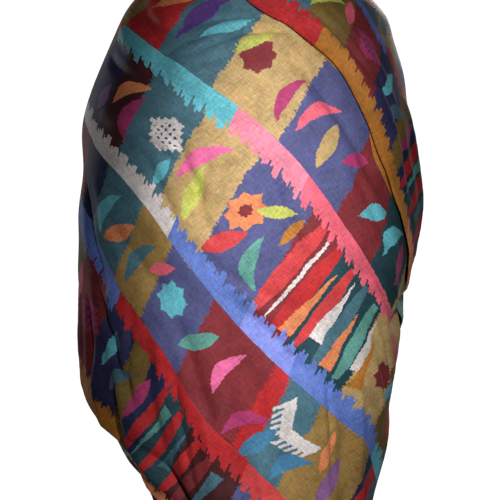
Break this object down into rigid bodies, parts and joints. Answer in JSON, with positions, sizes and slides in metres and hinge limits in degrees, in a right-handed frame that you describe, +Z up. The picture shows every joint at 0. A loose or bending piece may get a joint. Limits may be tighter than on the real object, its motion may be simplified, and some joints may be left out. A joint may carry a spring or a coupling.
{
  "type": "cotton shawl, worn wound round the shoulders",
  "caption": "Long woven cotton shawl, worn: wound round a figure's shoulders and arms in overlapping stretches, hollow, open at neck and hem.",
  "frame": {"origin": "between the wearer's shoulders, at the height where they carry the cloth, in the middle of the neck opening", "axes": "+Z up, front of the wrap towards -Y, +X towards the shoulder that the loose end is thrown over"},
  "size_m": [0.514, 0.3312, 1.1623],
  "materials": {
    "under_cotton": "woven cotton, matt with a faint sheen, inner turn of the cloth",
    "front_cotton": "woven cotton, faint sheen, many-coloured comb-edged bands and motifs",
    "shoulder_cotton": "woven cotton, faint sheen, same design as the front"
  },
  "bodies": {
    "root": {"under_stretch": "under_cotton", "front_stretch": "front_cotton", "shoulder_stretch": "shoulder_cotton"}
  },
  "joints": []
}
